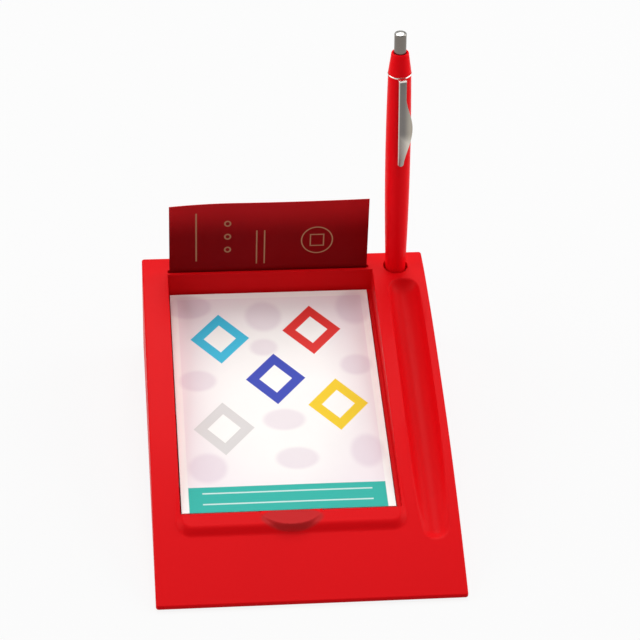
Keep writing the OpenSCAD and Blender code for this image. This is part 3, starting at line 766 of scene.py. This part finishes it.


# name card: a coated card that bows a little and curls at one corner

# the lighter red along the card's top is a painted sheen, not the card's own colour
card = {"color": (0.25, 0.002, 0.004), "topSheenColor": (0.54, 0.010, 0.014), "topSheenBand": 10.0, "topSheenSoft": 9.0,
        "foil": (0.50, 0.27, 0.15), "bow": 0.9, "bowMiddle": 0.4, "curl": -1.6, "curlReach": 30.0,
        "curlDrop": 0.45, "board": 0.9,
        "rules": [((12.0, 33.0), (0.35, 13.0)), ((39.0, 27.0), (0.3, 9.0)), ((42.5, 27.0), (0.3, 9.0))],
        "dots": [((26.0, 26.0), 1.6), ((26.0, 33.0), 1.6), ((26.0, 40.0), 1.6)], "dotHole": 0.55,
        "ring": ((66.0, 30.0), 7.2, 0.55), "square": 0.45, "ruleSoft": 0.12, "crisp": 0.15,
        "foilStrength": 0.8, "ringStrength": 0.9,
        "look": {"scale": 25, "tint": 0.3, "rough": 0.3, "spread": 0.15, "fine": 1500, "bump": 0.06,
                 "depth": 0.02, "shine": 0.03}}


def cardInks():
    foil, ground, crisp, strong = card["foil"], card["color"], card["crisp"], card["foilStrength"]
    top = (cardWide, card["topSheenBand"])
    # painted sheen: the card's top in a lighter red
    inks = [(barInk, card["topSheenColor"], (cardWide / 2, cardTall), top, card["topSheenSoft"], 1.0)]
    for middle, size in card["rules"]:
        inks.append((barInk, foil, middle, size, card["ruleSoft"], strong))
    middle, size, line = card["ring"]
    square = size * card["square"]
    marks = [(discInk, spot, outer, outer * card["dotHole"], strong) for spot, outer in card["dots"]]
    marks += [(discInk, middle, size, size - line, card["ringStrength"]),
              (barInk, middle, square, square - line, strong)]
    for group, spot, outer, hole, strength in marks:  # open marks: foil with the card's red inside
        inks += [(group, foil, spot, (outer, outer), crisp, strength),
                 (group, ground, spot, (hole, hole), crisp, 1.0)]
    return inks


def cardMaterial():
    material, tree, shader = startMaterial("coatedCard")
    shader.inputs["Specular IOR Level"].default_value = card["look"]["shine"]
    place = mapPlace(tree, "cardPlace", cardWide, cardTall)
    color = layInks(tree, place, (*card["color"], 1), cardInks())
    finishSurface(tree, shader, color, card["look"])
    return material


def makeCard():
    bm = bmesh.new()
    bm.loops.layers.uv.new("cardPlace")
    bmesh.ops.create_grid(bm, x_segments=40, y_segments=24, size=0.5, calc_uvs=True)
    bmesh.ops.scale(bm, vec=(cardWide, cardTall, 1), verts=bm.verts)
    bmesh.ops.rotate(bm, cent=(0, 0, 0), matrix=Matrix.Rotation(math.radians(90), 3, "X"), verts=bm.verts)
    bmesh.ops.translate(bm, vec=cardMiddle, verts=bm.verts)
    slotTop = archZ(cardMiddle.y)
    for vert in bm.verts:
        rise = max(0.0, vert.co.z - slotTop) / (cardHigh.z - slotTop)
        across = (vert.co.x - cardMiddle.x) / (cardWide / 2)
        vert.co.y += card["bow"] * rise * rise * (across * across - card["bowMiddle"])
        corner = max(0.0, 1 - ((vert.co.x - cardLow.x) + (cardHigh.z - vert.co.z)) / card["curlReach"])
        vert.co.y += card["curl"] * corner * corner
        vert.co.z += card["curlDrop"] * card["curl"] * corner * corner
    bmesh.ops.recalc_face_normals(bm, faces=bm.faces)
    board = cardThick * card["board"]
    bmesh.ops.solidify(bm, geom=bm.faces, thickness=board)
    bmesh.ops.translate(bm, vec=(0, board / 2, 0), verts=bm.verts)
    blankBack(bm, "cardPlace", Vector((0, 1, 0)))
    finishPiece(bm, "nameCard", "card", cardMaterial(), ["name_card"])


makeCard()


# click pen: turned barrel, cap and button with a pressed clip, in millimetres along its own axis

barrel = {"radius": 5.5, "swell": 1700.0, "middle": 58.0, "top": 100.0, "noseDepth": 20.0, "noseLength": 12.0,
          "tipRadius": 1.7, "tipHole": 1.2, "springSeat": 2.0, "springBore": 2.2, "springBoreLength": 20.0,
          "mainBore": 3.2, "spigotBore": 3.95, "spigotLength": 8.0, "steps": 40, "lip": 0.35, "lipBend": 0.3}
cap = {"collar": 0.6, "collarLip": 0.2, "inset": 0.15, "height": 10.0, "topRadius": 3.8, "topRound": 0.7,
       "spigot": 3.9, "spigotRoom": 0.05, "bore": 3.1, "floor": 5.0, "run": 0.12, "foot": 0.2,
       "chamfer": 0.25}
button = {"radius": 2.6, "show": 9.5, "wall": 0.5, "foot": 0.2, "edge": 0.55, "crown": 0.35,
          "crownShare": 0.4, "crownDrop": 0.07, "roof": 1.2,
          # a painted highlight: a pale band over the button's crown on a darker metal
          "paintedHighlights": [((1.0, 0.98, 0.93), (0, 120.6), (9, 0.9), 0.35)],
          "look": {"color": (0.20, 0.18, 0.16), "scale": 160, "tint": 0.2, "rough": 0.26, "spread": 0.12,
                   "fine": 2600, "bump": 0.05, "depth": 0.01, "metal": 1.0}}
clip = {"length": 42.0, "left": 2.1, "neck": 1.3, "neckLength": 9.0, "bulge": 4.2, "bulgeAt": 0.46,
        "bulgePower": 1.5, "tip": 1.3, "thickness": 0.6, "stand": 1.6, "gap": 0.25, "turn": 8.0, "edge": 0.2,
        "steps": 26, "lap": 0.4, "tabShare": 0.9, "ringEdge": 0.12,
        # painted highlights: paler tones on the blade's bulge and its left edge, and a bright collar ring
        "paintedHighlights": [((0.42, 0.38, 0.32), (5.2, 76), (3.4, 40), 1.7),
                  ((0.80, 0.75, 0.66), (7.0, 50), (5.5, 20), 5.0),
                  ((0.62, 0.58, 0.52), (-2.2, 76), (0.5, 40), 0.2),
                  ((0.95, 0.90, 0.84), (0, 100.3), (9, 0.5), 0.15)],
        "look": {"color": (0.19, 0.175, 0.165), "scale": 160, "tint": 0.2, "rough": 0.24, "spread": 0.12,
                 "fine": 2600, "bump": 0.05, "depth": 0.01, "metal": 1.0}}
barrelTop = barrel["top"]
capTop = barrelTop + cap["collar"] + cap["height"]
noseTop = barrel["noseLength"] - barrel["noseDepth"]
springSeat = noseTop - barrel["springSeat"]


def barrelRadius(z):
    return barrel["radius"] - (z - barrel["middle"]) ** 2 / (2 * barrel["swell"])


collarRadius = barrelRadius(barrelTop) + cap["collarLip"]


def placePen(bm):
    bmesh.ops.transform(bm, matrix=penFrame, verts=bm.verts)
    return bm


def penMetal(name, look, paintedHighlights):  # painted highlights as bands of another, paler tone, in millimetres across and along the pen
    material, tree, shader = startMaterial(name)
    shader.inputs["Metallic"].default_value = look["metal"]
    local = addNode(tree, "ShaderNodeMapping", vector_type="TEXTURE")
    tree.links.new(addNode(tree, "ShaderNodeTexCoord").outputs["Object"], local.inputs["Vector"])
    local.inputs["Location"].default_value = penFoot * mm
    local.inputs["Rotation"].default_value = (0, -penLean, math.radians(clip["turn"]))
    parts = addNode(tree, "ShaderNodeSeparateXYZ")
    tree.links.new(local.outputs[0], parts.inputs[0])
    place = addNode(tree, "ShaderNodeCombineXYZ")
    tree.links.new(mathNode(tree, "DIVIDE", parts.outputs[0], mm), place.inputs[0])
    tree.links.new(mathNode(tree, "DIVIDE", parts.outputs[2], mm), place.inputs[1])
    color = layInks(tree, place.outputs[0], (*look["color"], 1), [(barInk, *highlightBand, 1.0) for highlightBand in paintedHighlights])
    finishSurface(tree, shader, color, look)
    return material


def makeBarrel():
    tip = -barrel["noseDepth"]
    bore = springSeat + barrel["springBoreLength"]
    spigotFloor = barrelTop - barrel["spigotLength"]
    lip = barrel["lip"]
    side = [noseTop + (barrelTop - lip - noseTop) * i / barrel["steps"] for i in range(barrel["steps"] + 1)]
    profile = [(barrel["tipHole"], tip), (barrel["tipRadius"] - lip, tip), (barrel["tipRadius"], tip + lip)]
    profile += [(barrelRadius(z), z) for z in side]
    profile += [(barrelRadius(barrelTop) - lip * barrel["lipBend"], barrelTop - lip * barrel["lipBend"]),
                (barrelRadius(barrelTop) - lip, barrelTop), (barrel["spigotBore"], barrelTop),
                (barrel["spigotBore"], spigotFloor), (barrel["mainBore"], spigotFloor),
                (barrel["mainBore"], bore), (barrel["springBore"], bore), (barrel["springBore"], springSeat),
                (barrel["tipHole"], springSeat)]
    bm = placePen(turnProfile(profile, pen["turnSteps"], True))
    finishPiece(bm, "penBarrel", "pen", finishes["redPen"], ["pen_barrel"])


def makeCap():
    low = barrelTop + cap["collar"]
    wide = collarRadius - cap["inset"]
    bend, edge = cap["topRound"], cap["chamfer"]
    skirt = barrelTop - barrel["spigotLength"] + cap["spigotRoom"]
    hole = button["radius"] + cap["run"]
    floor = capTop - cap["floor"]
    profile = [(cap["bore"], skirt), (cap["spigot"], skirt), (cap["spigot"], low), (wide - cap["foot"], low),
               (wide, low + edge)]
    profile += arcPoints((cap["topRadius"] - bend, capTop - bend), bend, 8, 90, 6)
    profile += [(hole + edge, capTop), (hole, capTop - edge), (hole, floor), (cap["bore"], floor)]
    bm = placePen(turnProfile(profile, pen["turnSteps"], True))
    finishPiece(bm, "penCap", "pen", finishes["redPen"], ["pen_cap"])


def makeButton():
    low = capTop - cap["floor"] - button["foot"]
    high = capTop + button["show"]
    inside = button["radius"] - button["wall"]
    edge = button["edge"]
    profile = [(inside, low), (button["radius"], low)]
    profile += arcPoints((button["radius"] - edge, high - button["crown"] - edge), edge, 0, 75, 6)
    profile += [(button["radius"] * button["crownShare"], high - button["crownDrop"]), (0, high),
                (0, high - button["roof"]), (inside, high - button["roof"])]
    bm = placePen(turnProfile(profile, pen["turnSteps"], True))
    metal = penMetal("buttonMetal", button["look"], button["paintedHighlights"])
    finishPiece(bm, "pushButton", "button", metal, ["push_button"])


spring = {"turns": 7, "wire": 0.2, "steps": 20, "sides": 8, "radius": 1.55, "shoulder": 6.0, "travel": 5.5}


def makeSpring():
    rings = spring["turns"] * spring["steps"]
    height = spring["shoulder"] - springSeat
    rise = height - 2 * spring["wire"]
    bm = bmesh.new()
    bmesh.ops.create_circle(bm, cap_ends=True, segments=spring["sides"], radius=spring["wire"])
    bmesh.ops.rotate(bm, cent=(0, 0, 0), matrix=Matrix.Rotation(math.radians(90), 3, "X"), verts=bm.verts)
    bmesh.ops.translate(bm, vec=(spring["radius"], 0, springSeat + spring["wire"]), verts=bm.verts)
    bmesh.ops.spin(bm, geom=bm.verts[:] + bm.edges[:] + bm.faces[:], cent=(0, 0, 0), axis=upright,
                   dvec=(0, 0, rise / rings), angle=math.tau * spring["turns"], steps=rings)
    closeHoles(bm, [edge for edge in bm.edges if edge.is_boundary])
    obj = finishPiece(placePen(bm), "penSpring", "pen", finishes["springSteel"],
                      ["return_spring"])
    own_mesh(obj)


def clipOutline():
    points = [(-clip["left"], cap["collar"]), (clip["neck"], cap["collar"])]
    start, end = -clip["neckLength"], clip["tip"] - clip["length"]
    peak = clip["bulgeAt"]
    for i in range(clip["steps"] + 1):
        share = i / clip["steps"]
        near = share / peak if share < peak else (1 - share) / (1 - peak)
        swell = math.sin(math.pi / 2 * near) ** clip["bulgePower"]
        base = clip["neck"] + (clip["tip"] * 2 - clip["left"] - clip["neck"]) * share
        points.append((base + (clip["bulge"] - base) * swell, start + (end - start) * share))
    points += arcPoints((clip["tip"] - clip["left"], end), clip["tip"], -20, -180, 8)
    return points


def addClipTab(bm, reach):  # the root that joins the blade to the collar
    tab = bmesh.ops.create_cube(bm, size=1.0)["verts"]
    size = (clip["left"] + clip["neck"], clip["stand"] + clip["thickness"] + clip["lap"],
            cap["collar"] * clip["tabShare"])
    place = ((clip["neck"] - clip["left"]) / 2, -(reach + clip["thickness"] + collarRadius - clip["lap"]) / 2,
             barrelTop + cap["collar"] / 2)
    bmesh.ops.scale(bm, vec=size, verts=tab)
    bmesh.ops.translate(bm, vec=place, verts=tab)
    roundEdges(bm, list({edge for vert in tab for edge in vert.link_edges}), clip["edge"], 2)


def addClipRing(bm):
    low, high = barrelTop, barrelTop + cap["collar"]
    inside, wide, edge = cap["spigot"] + cap["spigotRoom"], collarRadius, clip["ringEdge"]
    ring = turnProfile([(inside, low), (wide - edge, low), (wide, low + edge), (wide, high - edge),
                        (wide - edge, high), (inside, high)], pen["turnSteps"], True)
    ringMesh = bpy.data.meshes.new("clipRing")
    ring.to_mesh(ringMesh)
    ring.free()
    bm.from_mesh(ringMesh)
    bpy.data.meshes.remove(ringMesh)


def makeClip():
    reach = collarRadius + clip["stand"]
    foot = barrelRadius(barrelTop - clip["length"]) + clip["gap"]
    drop = math.atan2(reach - foot, clip["length"])
    bm = bmesh.new()
    raiseFace(bm, outlineFace(bm, [(x, 0, z) for x, z in clipOutline()]), (0, -clip["thickness"], 0))
    roundEdges(bm, [edge for edge in bm.edges if edgeAngle(edge) > 50], clip["edge"], 2)
    bmesh.ops.rotate(bm, cent=(0, 0, 0), matrix=Matrix.Rotation(-drop, 3, "X"), verts=bm.verts)
    bmesh.ops.translate(bm, vec=(0, -reach, barrelTop), verts=bm.verts)
    addClipTab(bm, reach)
    addClipRing(bm)
    turn = Matrix.Rotation(math.radians(clip["turn"]), 3, "Z")
    bmesh.ops.rotate(bm, cent=(0, 0, 0), matrix=turn, verts=bm.verts)
    metal = penMetal("clipMetal", clip["look"], clip["paintedHighlights"])
    finishPiece(placePen(bm), "penClip", "pen", metal, ["pen_clip"])


makeBarrel()
makeCap()
makeButton()
makeSpring()
makeClip()


# camera, light and floor

cameraSet = {"place": (-77.56, -766.8, 650.1), "azimuth": -6.402, "elevation": 36.576, "roll": 2.113,
             "focalPixels": 2310.41, "imagePixels": 640, "sensor": 36.0}


def addCamera():
    azimuth, elevation, roll = (math.radians(cameraSet[key]) for key in ("azimuth", "elevation", "roll"))
    level = math.cos(elevation)
    back = Vector((math.sin(azimuth) * level, -math.cos(azimuth) * level, math.sin(elevation)))
    turn = (-back).to_track_quat("-Z", "Y").to_matrix() @ Matrix.Rotation(roll, 3, "Z")
    data = bpy.data.cameras.new("photoCamera")
    data.sensor_width = cameraSet["sensor"]
    data.lens = cameraSet["focalPixels"] / cameraSet["imagePixels"] * cameraSet["sensor"]
    camera = bpy.data.objects.new("photoCamera", data)
    camera.matrix_world = Matrix.Translation(Vector(cameraSet["place"]) * mm) @ turn.to_4x4()
    bpy.context.scene.collection.objects.link(camera)
    bpy.context.scene.camera = camera


# lamps as place, size and power, in metres and watts
studio = {"lamps": {"leftBox": ((-1.05, 0.1, 0.62), 1.0, 7.5), "rightBox": ((1.05, 0.2, 0.62), 1.0, 8.2),
                    "topBox": ((0.0, -0.3, 1.8), 0.9, 5.0), "backBox": ((0.0, 0.95, 1.6), 1.0, 15.5)},
          "aim": (0, 0, 0.03), "world": 0.22, "floorHalf": 2.5, "floorWhite": 0.88, "floorGrey": 0.65,
          "floorRough": 0.9, "floorShine": 0.1}


def addLamps():
    for name, (place, size, power) in studio["lamps"].items():
        data = bpy.data.lights.new(name, "AREA")
        data.energy = power
        data.size = size
        lamp = bpy.data.objects.new(name, data)
        turn = (Vector(studio["aim"]) - Vector(place)).to_track_quat("-Z", "Y").to_matrix()
        lamp.matrix_world = Matrix.Translation(place) @ turn.to_4x4()
        bpy.context.scene.collection.objects.link(lamp)
    world = bpy.data.worlds.new("studioWorld")
    world.use_nodes = True
    sky = world.node_tree.nodes["Background"]
    sky.inputs["Color"].default_value = (1, 1, 1, 1)
    sky.inputs["Strength"].default_value = studio["world"]
    bpy.context.scene.world = world


def addFloor():
    material, tree, shader = startMaterial("paleFloor")
    shader.inputs["Base Color"].default_value = (*[studio["floorGrey"]] * 3, 1)
    shader.inputs["Roughness"].default_value = studio["floorRough"]
    shader.inputs["Specular IOR Level"].default_value = studio["floorShine"]
    glow = addNode(tree, "ShaderNodeEmission")
    path = addNode(tree, "ShaderNodeLightPath")
    seen = mathNode(tree, "MAXIMUM", path.outputs["Is Camera Ray"], path.outputs["Is Glossy Ray"])
    seen = mathNode(tree, "MAXIMUM", seen, path.outputs["Is Transmission Ray"])
    blend = addNode(tree, "ShaderNodeMixShader")
    tree.links.new(mathNode(tree, "MULTIPLY", seen, studio["floorWhite"]), blend.inputs[0])
    tree.links.new(shader.outputs[0], blend.inputs[1])
    tree.links.new(glow.outputs[0], blend.inputs[2])
    tree.links.new(blend.outputs[0], tree.nodes["Material Output"].inputs["Surface"])
    bm = bmesh.new()
    bmesh.ops.create_grid(bm, x_segments=1, y_segments=1, size=studio["floorHalf"])
    bmesh.ops.recalc_face_normals(bm, faces=bm.faces)
    floor = pieceMesh(bm, "paleFloor")
    floor.data.materials.append(material)


addCamera()
addLamps()
addFloor()
bpy.context.scene.view_settings.view_transform = "Standard"
print("camera, lamps and floor made")

# finishes of the solids that stay as they are
nodeLooks = {"bottom_plate": "darkCover", "cover_screws": "screwSteel", "rubber_feet": "footRubber",
             "pad_backing": "greyBoard", "pad_binding": "padGlue", "plunger_cam": "innerPlastic",
             "cam_rotor": "innerPlastic", "refill_tube": "innerPlastic", "refill_tip": "refillBrass",
             "writing_ball": "ballSteel"}
for node, look in nodeLooks.items():
    nodes[node].material_slots[0].material = finishes[look]
print("solids finished", len(nodeLooks))
